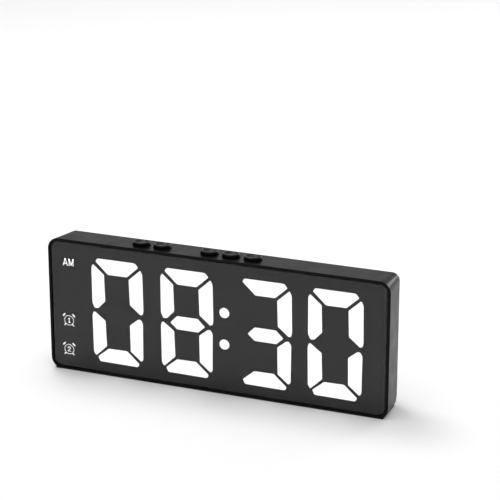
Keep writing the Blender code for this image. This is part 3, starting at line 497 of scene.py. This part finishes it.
def draft_at(depth):
    """How far the case's sides and top have drawn in at a depth."""
    return DRAFT * depth / CASE_DEPTH


def quarter(centre, radius, start, end, steps=5):
    """Points on an arc, as (depth, inset), between two angles in degrees."""
    points = []
    for i in range(steps + 1):
        turn = math.radians(start + (end - start) * i / steps)
        points.append((centre[0] + radius * math.cos(turn), centre[1] + radius * math.sin(turn)))
    return points


# ---------------------------------------------------------------- housing and lens

def case_top(depth):
    return FRONT_HEIGHT - draft_at(depth)


def level_ring(x, radius, z):
    """A level ring round a button's axis."""
    return [(px, depth, z) for px, depth in circle((x, BUTTON_DEPTH), radius, 64)]


def sloped_ring(x, radius, rise):
    """A ring round a button's axis, parallel to the case's sloping top and this far above it."""
    return [(px, depth, case_top(depth) + rise) for px, depth in circle((x, BUTTON_DEPTH), radius, 64)]


def make_housing():
    """Sleeve with the front rim, the ledge behind the lens, button recesses and the rear rebate."""
    rear, rebate, r = CASE_DEPTH, CASE_DEPTH - REBATE_DEPTH, EDGE_ROUND
    outer = quarter((r, r), r, 180, 270) + [(SLOPE_START, 0.0)] + quarter((rear - r, r), r, -90, 0)
    inner = [(rear, DRAFT + REAR_LIP - 0.1), (rear - 0.1, DRAFT + REAR_LIP), (rebate, DRAFT + REAR_LIP),
             (rebate, draft_at(rebate) + WALL), (LEDGE_BACK, draft_at(LEDGE_BACK) + WALL),
             (LEDGE_BACK, LEDGE_INSET), (POCKET_DEPTH, LEDGE_INSET), (POCKET_DEPTH, RIM_WIDTH),
             (0.12, RIM_WIDTH), (0.03, RIM_WIDTH - 0.05), (0.0, RIM_WIDTH - 0.12)]
    rings = [shell_ring(depth, extra) for depth, extra in outer]
    rings += [[(x, depth, z) for x, z in case_outline(inset)] for depth, inset in inner]
    bm = bmesh.new()
    loft(bm, rings, closed=True)
    housing = solid("case_shell", bm)
    recesses, holes = bmesh.new(), bmesh.new()
    for x in BUTTON_XS:
        loft(recesses, [sloped_ring(x, RECESS_RADIUS, -RECESS_DEPTH),
                        level_ring(x, RECESS_RADIUS, FRONT_HEIGHT + 2)])
        ends = ((STEM_HOLE_RADIUS, FRONT_HEIGHT - 6), (STEM_HOLE_RADIUS, FRONT_HEIGHT))
        turned(holes, ends, (x, STEM_DEPTH), "z")
    boolean(housing, recesses, "DIFFERENCE")
    boolean(housing, holes, "DIFFERENCE")
    return dress(housing, CASE, stands_for=["housing"], angle=35.0)


def make_lens():
    r = LENS_RADIUS
    bm = bmesh.new()
    profile = quarter((LENS_FRONT + r, LENS_INSET + r), r, 180, 270) + [(LENS_BACK, LENS_INSET)]
    loft(bm, [[(x, depth, z) for x, z in case_outline(inset, steps=20)] for depth, inset in profile])
    return dress(solid("lens", bm), LENS, stands_for=["front_lens"], angle=60.0)


# ---------------------------------------------------------------- display

def make_mask():
    bm = bmesh.new()
    prism(bm, case_outline(MASK_INSET), MASK_FRONT, MASK_BACK)
    mask = solid("segment_mask", bm)
    windows = bmesh.new()
    through = (MASK_FRONT - 1, MASK_BACK + 1)
    for digit in range(len(DIGIT_XS)):
        for letter in SEGMENTS:
            prism(windows, rounded_polygon(grown(placed(letter, digit), WINDOW_CLEARANCE)), *through)
    for z in COLON_ZS:
        prism(windows, circle((COLON_X, z), COLON_RADIUS + WINDOW_CLEARANCE), *through)
    boolean(mask, windows, "DIFFERENCE")
    return dress(mask, MASK, stands_for=["display_mask"])


def raised(bm, corners):
    """A light guide's column with a slightly rounded front edge."""
    rings = []
    for depth, shrink in ((SEGMENT_FRONT, 0.1), (SEGMENT_FRONT + 0.03, 0.03), (SEGMENT_FRONT + 0.1, 0.0),
                          (SEGMENT_BACK, 0.0)):
        rings.append([(x, depth, z) for x, z in rounded_polygon(grown(corners, -shrink))])
    loft(bm, rings)


def make_digit(digit):
    lit, unlit = bmesh.new(), bmesh.new()
    for letter in SEGMENTS:
        raised(lit if letter in LIT[digit] else unlit, placed(letter, digit))
    node = f"digit_diffuser_{digit + 1}"
    dress(solid(f"digit_{digit + 1}_lit", lit), GLOW, stands_for=[node], angle=50.0)
    if len(LIT[digit]) < len(SEGMENTS):
        dress(solid(f"digit_{digit + 1}_unlit", unlit), OFF, angle=50.0)
    else:
        unlit.free()


def make_colon():
    bm = bmesh.new()
    for z in COLON_ZS:
        r = COLON_RADIUS
        turned(bm, ((r - 0.1, SEGMENT_FRONT), (r - 0.03, SEGMENT_FRONT + 0.03), (r, SEGMENT_FRONT + 0.1),
                    (r, SEGMENT_BACK)), (COLON_X, z), "y")
    return dress(solid("colon_dots", bm), GLOW, stands_for=["colon_diffuser"],
                 angle=50.0)


def strokes(bm, centre, lines, width, depths):
    """Thin bars with round ends along (x, z) lines measured from a centre."""
    for x0, z0, x1, z1 in lines:
        middle = (centre[0] + (x0 + x1) / 2, centre[1] + (z0 + z1) / 2)
        angle = math.degrees(math.atan2(z1 - z0, x1 - x0))
        prism(bm, capsule(middle, math.hypot(x1 - x0, z1 - z0) + width, width, angle, 4), *depths)


def make_alarm_mark(number):
    """Alarm clock pictogram: ring, two bells and two feet, with a numeral in the ring."""
    x, z = ALARM_CENTRES[number]
    depths = (SEGMENT_FRONT, MARK_BACK)
    outer, inner = ALARM_RING_OUTER, ALARM_RING_INNER
    section = ((outer, SEGMENT_FRONT), (outer, MARK_BACK), (inner, MARK_BACK), (inner, SEGMENT_FRONT))
    ring, marks = bmesh.new(), bmesh.new()
    turned(ring, section, (x, z), "y", 48, closed=True)
    strokes(ring, (x, z), NUMERALS[number], NUMERAL_STROKE, depths)
    for side in (-1, 1):
        prism(marks, capsule((x + side * 2.4, z + 2.52), 1.8, 0.62, -45 * side), *depths)
        prism(marks, capsule((x + side * 2.05, z - 2.18), 1.25, 0.42, -45 * side), *depths)
    dress(solid(f"alarm_mark_{number}", ring), GLOW_MARK)
    dress(solid(f"alarm_bells_{number}", marks), GLOW)


def make_status():
    bm = bmesh.new()
    strokes(bm, AM_CENTRE, AM_LINES, AM_STROKE, (SEGMENT_FRONT, MARK_BACK))
    dress(solid("am_mark", bm), GLOW, stands_for=["status_diffuser"])
    for number in ALARM_CENTRES:
        make_alarm_mark(number)


# ---------------------------------------------------------------- buttons

def make_button(index):
    """Dished cap with a narrow lip in its recess, on a stem with a flange below the case."""
    top, x, r, edge = BUTTON_RISE, BUTTON_XS[index], BUTTON_RADIUS, 0.3
    profile = [(r - 0.1, CAP_LIFT - RECESS_DEPTH), (r - 0.1, top - 1.6), (r - 0.06, top - 1.4),
               (r, top - 1.25)]
    profile += quarter((r - edge, top - edge), edge, 0, 90)
    profile += [(r - 0.5, top), (r - 0.62, top - 0.05), (r - 0.9, top - 0.35), (r - 1.2, top - 0.58),
                (2.3, top - 0.74), (1.7, top - 0.84), (0.8, top - BUTTON_DISH), (0.05, top - BUTTON_DISH)]
    bm = bmesh.new()
    loft(bm, [sloped_ring(x, radius, rise) for radius, rise in profile])
    cap = solid(f"cap_{index + 1}", bm)
    stem = bmesh.new()
    section = ((FLANGE_RADIUS, FLANGE_BOTTOM), (FLANGE_RADIUS, FLANGE_TOP), (STEM_RADIUS, FLANGE_TOP),
               (STEM_RADIUS, FRONT_HEIGHT - 0.4))
    turned(stem, section, (x, STEM_DEPTH), "z")
    boolean(cap, stem, "UNION")
    body = f"button_{index + 1}"
    dress(cap, BUTTON, body, [body], 50.0)
    make_button_mark(index)


def make_button_mark(index):
    """Small generic mark in the dish: ring with a dot, bar, ring, plus, and dashed bar."""
    x, floor = BUTTON_XS[index], BUTTON_RISE - BUTTON_DISH
    low, high = floor - CAP_MARK_SUNK, floor + CAP_MARK_PROUD
    bm = bmesh.new()

    def slab(outline):
        loft(bm, [[(x + px, BUTTON_DEPTH + py, case_top(BUTTON_DEPTH + py) + rise) for px, py in outline]
                  for rise in (low, high)])

    if index in (0, 2):
        outer, inner = 0.95, 0.63
        section = ((outer, low), (outer, high), (inner, high), (inner, low))
        loft(bm, [sloped_ring(x, radius, rise) for radius, rise in section], closed=True)
    if index == 0:
        slab(circle((0, 0), 0.3))
    if index in (1, 3):
        slab(capsule((0, 0), 2.3, 0.45, 0))
    if index == 3:
        slab(capsule((0, 0.75), 0.8, 0.4, 90))
        slab(capsule((0, -0.75), 0.8, 0.4, 90))
    if index == 4:
        slab(capsule((-0.75, 0), 0.9, 0.45, 0))
        slab(capsule((0.75, 0), 0.9, 0.45, 0))
    dress(solid(f"cap_mark_{index + 1}", bm), PRINT, f"button_{index + 1}")


# ---------------------------------------------------------------- rear cover, door and pad

def block_half_width(depth):
    return BLOCK_HALF_REAR + (TOTAL_DEPTH - depth) * END_SLOPE


def block_top(depth):
    return BLOCK_TOP_REAR + (TOTAL_DEPTH - depth) * TOP_SLOPE


def block_section(depth, end_inset, top_inset, bottom):
    half = block_half_width(depth) - end_inset
    return [(x, depth, z) for x, z in rectangle(-half, half, bottom, block_top(depth) - top_inset)]


def side_extrusion(bm, side, xs):
    """A (depth, z) outline carried along X."""
    return loft(bm, [[(x, depth, z) for depth, z in side] for x in xs])


def make_rear_cover():
    """Panel, hollow battery block and the bay inside it, with every opening in the back."""
    rear, inner, edge = CASE_DEPTH, CASE_DEPTH - COVER_THICKNESS, COVER_EDGE
    profile = [(inner, 0.0), (rear - edge, 0.0)] + quarter((rear - edge, edge), edge, -90, 0, 7)[1:]
    panel = bmesh.new()
    loft(panel, [[(x, depth, z) for x, z in case_outline(DRAFT + COVER_INSET + inset)]
                 for depth, inset in profile])
    cover = solid("back_shell", panel)

    block = bmesh.new()
    loft(block, [block_section(depth, 0.0, 0.0, BLOCK_BOTTOM) for depth in (rear - 1.4, TOTAL_DEPTH)])
    combine(cover, soften(solid("block", block), BLOCK_FILLET, 5), "UNION")

    end_inset = BLOCK_WALL * math.hypot(1.0, END_SLOPE)
    top_inset = BLOCK_WALL * math.hypot(1.0, TOP_SLOPE)
    hollow = bmesh.new()
    depths = (inner - 1.0, TOTAL_DEPTH - BLOCK_WALL)
    loft(hollow, [block_section(depth, end_inset, top_inset, BLOCK_BOTTOM + 1.2) for depth in depths])
    boolean(cover, hollow, "DIFFERENCE")

    tub_rear, roof = TOTAL_DEPTH - BLOCK_WALL / 2, BAY_TOP + BAY_WALL
    side = [(BAY_FLOOR_DEPTH - BAY_WALL, BAY_BOTTOM - 0.7), (tub_rear, BAY_BOTTOM - 0.7),
            (tub_rear, block_top(tub_rear) - 0.9), (rear + 3.0, roof - 0.5),
            (BAY_FLOOR_DEPTH - BAY_WALL, roof - 0.5)]
    boolean(cover, side_extrusion(bmesh.new(), side, (BAY_START - BAY_WALL - 0.4, BAY_END + 0.6)), "UNION")
    bay_rear = TOTAL_DEPTH - DOOR_THICKNESS - 0.05
    side = [(BAY_FLOOR_DEPTH, BAY_BOTTOM), (bay_rear, BAY_BOTTOM),
            (bay_rear, block_top(bay_rear) - top_inset), (rear, block_top(rear) - top_inset - 0.6),
            (BAY_FLOOR_DEPTH, BAY_TOP)]
    boolean(cover, side_extrusion(bmesh.new(), side, (BAY_START, BAY_END)), "DIFFERENCE")

    opening = bmesh.new()
    box(opening, (DOOR_START, BLOCK_HALF_REAR + 4.0), (bay_rear - 0.3, TOTAL_DEPTH + 1.0),
        (DOOR_BOTTOM, DOOR_TOP))
    for z in TAB_HEIGHTS:
        box(opening, (BAY_START - 2.4, BAY_START + 0.05), (TOTAL_DEPTH - 3.4, TOTAL_DEPTH - 1.7),
            (z - 2, z + 2))
    boolean(cover, opening, "DIFFERENCE")
    cut_vents(cover)
    cut_sockets(cover)
    return dress(cover, CASE, stands_for=["rear_cover"], angle=28.0)


def cut_vents(cover):
    """Three long shallow channels with slots in them, and a gap round the microphone."""
    rear, inner = CASE_DEPTH, CASE_DEPTH - COVER_THICKNESS
    channels = bmesh.new()
    for z, half in zip(VENT_ROWS, CHANNEL_HALF_LENGTHS):
        rings = [[(x, depth, zz) for x, zz in capsule((0, z), 2 * half, height, 0, 6)]
                 for depth, height in ((rear - CHANNEL_DEPTH, VENT_HEIGHT - 0.1), (rear - 0.1, VENT_HEIGHT),
                                       (rear + 0.2, VENT_HEIGHT + 0.5))]
        loft(channels, rings)
    boolean(cover, channels, "DIFFERENCE")
    slots = bmesh.new()
    for z in VENT_ROWS:
        for group in (-2, -1, 0, 1, 2):
            x0 = group * VENT_PITCH_X - VENT_LENGTH / 2
            x1 = x0 + VENT_LENGTH
            if group == -1:
                x0 = MIC_CENTRE[0] + math.sqrt(MIC_BOSS_RADIUS ** 2 - (z - MIC_CENTRE[1]) ** 2)
            half = VENT_HEIGHT / 2 - 0.08
            corners = [(x, zz, 0.25) for x, zz in rectangle(x0, x1, z - half, z + half)]
            prism(slots, rounded_polygon(corners, 3), inner - 1.0, rear + 1.0)
    boolean(cover, slots, "DIFFERENCE")


def cut_sockets(cover):
    """Microphone hole, and the power socket's hole in its shallow ring."""
    rear, inner, back = CASE_DEPTH, CASE_DEPTH - COVER_THICKNESS, TOTAL_DEPTH
    holes = bmesh.new()
    r = MIC_HOLE_RADIUS
    turned(holes, ((r, inner - 2.0), (r, rear - 0.15), (r + 0.2, rear), (r + 0.7, rear + 0.5)),
           MIC_CENTRE, "y", 48)
    r, ring = JACK_HOLE_RADIUS, JACK_RING_RADIUS
    turned(holes, ((r, back - 3.5), (r, back - JACK_RING_DEPTH - 0.12), (r + 0.12, back - JACK_RING_DEPTH),
                   (ring, back - JACK_RING_DEPTH), (ring, back - 0.12), (ring + 0.62, back + 0.5)),
           JACK_CENTRE, "y", 64)
    boolean(cover, holes, "DIFFERENCE")


def make_door():
    """Door panel with its sloping end, two tabs that reach under the cover, and a ribbed grip."""
    inside = TOTAL_DEPTH - DOOR_THICKNESS
    low, high, start = DOOR_BOTTOM + DOOR_GAP, DOOR_TOP - DOOR_GAP, DOOR_START + DOOR_GAP
    bm = bmesh.new()
    plan = [(start, inside), (block_half_width(inside), inside), (BLOCK_HALF_REAR, TOTAL_DEPTH),
            (start, TOTAL_DEPTH)]
    loft(bm, [[(x, depth, z) for x, depth in plan] for z in (low, high)])
    door = soften(solid("door_panel", bm), 0.14, 3)
    tabs = bmesh.new()
    for z in TAB_HEIGHTS:
        plan = [(BAY_START - 2.0, inside - 1.1), (start + 1.2, inside - 1.1), (start + 1.2, inside + 0.4),
                (start + 0.2, inside + 0.4), (start + 0.2, inside - 0.4), (BAY_START - 2.0, inside - 0.4)]
        loft(tabs, [[(x, depth, zz) for x, depth in plan] for zz in (z - 1.5, z + 1.5)])
    boolean(door, tabs, "UNION")
    grooves = bmesh.new()
    middle = (low + high) / 2
    for x, length in GRIP_RIBS:
        rings = [[(px, depth, pz) for px, pz in capsule((x, middle), length, width, 90, 6)]
                 for depth, width in ((TOTAL_DEPTH - 0.4, 0.45), (TOTAL_DEPTH, 0.75),
                                      (TOTAL_DEPTH + 0.2, 0.9))]
        loft(grooves, rings)
    boolean(door, grooves, "DIFFERENCE")
    return dress(door, CASE, "battery_door", ["battery_door"], 35.0)


def make_pad_with_painted_shade():
    """Black rubber pad under the whole clock: thin below the case, which it hugs, and thick below the
    block. Its full length is also painted shade: a dark piece filling the shadow band where the clock meets
    the floor.
    """
    below = ((PAD_HALF, PAD_FRONT), (PAD_HALF - 0.2, PAD_SHOULDER), (PAD_HALF - 2.8, PAD_SHOULDER + 0.4),
             (PAD_HALF_REAR, PAD_REAR))
    above = below[:2] + ((PAD_HALF - 3.1, PAD_SHOULDER + 1.4), (PAD_HALF_REAR - 0.1, PAD_REAR + 1.9))
    rings = []
    for right, z in ((below, 0.0), (above, BLOCK_BOTTOM - PAD_GAP)):
        rings.append([(x, depth, z) for x, depth in right + tuple((-x, depth) for x, depth in right[::-1])])
    pad = solid("foot_pad_painted_shade", loft(bmesh.new(), rings))
    depths = (-1.0, 0.0, SLOPE_START, CASE_DEPTH + PAD_GAP)
    boolean(pad, loft(bmesh.new(), [shell_ring(depth, -PAD_GAP) for depth in depths]), "DIFFERENCE")
    return dress(pad, PAD, stands_for=["base_pad"])


# ---------------------------------------------------------------- carried-over inner parts

def paint(mat, *names):
    """Gives CAD nodes a procedural material; the mesh stays as it is."""
    for name in names:
        mesh = NODES[name].data
        mesh.materials.clear()
        mesh.materials.append(mat)


def numbered(prefix, count):
    return [f"{prefix}_{i + 1}" for i in range(count)]


make_housing()
make_lens()
make_mask()
for number in range(len(DIGIT_XS)):
    make_digit(number)
make_colon()
make_status()
for number in range(len(BUTTON_XS)):
    make_button(number)
make_rear_cover()
make_door()
make_pad_with_painted_shade()
paint(REFLECTOR, "light_box")
paint(BOARD, "main_board")
paint(STEEL, *numbered("board_screw", 4))
# The coin cell gets the black chip plastic in place of its metal as painted shade, so it stays dark behind
# the vents.
paint(CHIP_AND_PAINTED_SHADE, "microphone", "coin_cell", "controller_chip", "display_driver_chip", "buzzer",
      "coin_cell_holder", "dc_jack", *numbered("tact_switch", 5))
paint(NICKEL, "crystal", "contact_plate_negative", "contact_plate_positive", "contact_bridge",
      *numbered("contact_spring", 2))
paint(NYLON, *numbered("switch_plunger", 5))
paint(JACKET, *numbered("battery", 2))
paint(RED, "lead_battery_positive", "lead_jack_positive")
paint(BLACK, "lead_battery_negative", "lead_jack_negative")


# ---------------------------------------------------------------- floor, light and camera

# Brightness of the dome against the sine of the height above the horizon
DOME = ((0.0, 0.24), (0.35, 0.3), (0.6, 0.34), (0.85, 0.7), (1.0, 1.0))
DOME_STRENGTH = 1.62

# Each lamp's name, place, target, size and power, in metres and watts
LAMPS = (
    ("key", (-0.32, 0.2, 0.8), (0.0, 0.0, 0.0), (0.35, 0.35), 2.6),
    ("back", (-0.15, 0.85, 0.26), (0.0, 0.0, 0.06), (0.7, 0.2), 0.11),
    ("corner", (0.36, 0.85, 0.25), (0.08, 0.0, 0.06), (0.25, 0.25), 1.4),
)

CAMERA_PLACE = (0.31037, FRONT_Y - 0.72454, 0.33597)
CAMERA_TILT, CAMERA_TURN = 71.13, 22.04
CAMERA_LENS, CAMERA_SENSOR = 139.25, 36.0
FLOOR_HALF = 6.0


def make_floor():
    """Large plain white floor."""
    bm = bmesh.new()
    bmesh.ops.create_grid(bm, x_segments=1, y_segments=1, size=FLOOR_HALF)
    mesh = bpy.data.meshes.new("floor")
    bm.to_mesh(mesh)
    bm.free()
    floor = bpy.data.objects.new("floor", mesh)
    bpy.context.scene.collection.objects.link(floor)
    made = Nodes("floor_white", (0.9, 0.9, 0.9), 0.7, specular=0.1)
    mesh.materials.append(made.mat)


def make_world():
    """Even studio dome, much brighter overhead than at the horizon."""
    world = bpy.data.worlds.new("studio")
    bpy.context.scene.world = world
    world.use_nodes = True
    tree = world.node_tree
    direction = tree.nodes.new("ShaderNodeTexCoord").outputs["Generated"]
    split = tree.nodes.new("ShaderNodeSeparateXYZ")
    tree.links.new(direction, split.inputs["Vector"])
    ramp = tree.nodes.new("ShaderNodeValToRGB")
    elements = ramp.color_ramp.elements
    for _ in DOME[2:]:
        elements.new(0.5)
    for element, (height, level) in zip(elements, DOME):
        element.position, element.color = height, (level, level, level, 1)
    tree.links.new(split.outputs["Z"], ramp.inputs["Fac"])
    background = tree.nodes["Background"]
    tree.links.new(ramp.outputs["Color"], background.inputs["Color"])
    background.inputs["Strength"].default_value = DOME_STRENGTH


def area_light(name, place, target, size, power):
    light = bpy.data.lights.new(name, "AREA")
    light.shape = "RECTANGLE"
    light.size, light.size_y = size
    light.energy = power
    obj = bpy.data.objects.new(name, light)
    obj.location = place
    obj.rotation_euler = (Vector(target) - Vector(place)).to_track_quat("-Z", "Y").to_euler()
    bpy.context.scene.collection.objects.link(obj)


def make_camera():
    data = bpy.data.cameras.new("camera")
    data.lens, data.sensor_width = CAMERA_LENS, CAMERA_SENSOR
    camera = bpy.data.objects.new("camera", data)
    camera.location = CAMERA_PLACE
    camera.rotation_euler = (math.radians(CAMERA_TILT), 0.0, math.radians(CAMERA_TURN))
    bpy.context.scene.collection.objects.link(camera)
    bpy.context.scene.camera = camera


make_floor()
make_world()
for lamp in LAMPS:
    area_light(*lamp)
make_camera()
bpy.context.scene.view_settings.view_transform = "Standard"
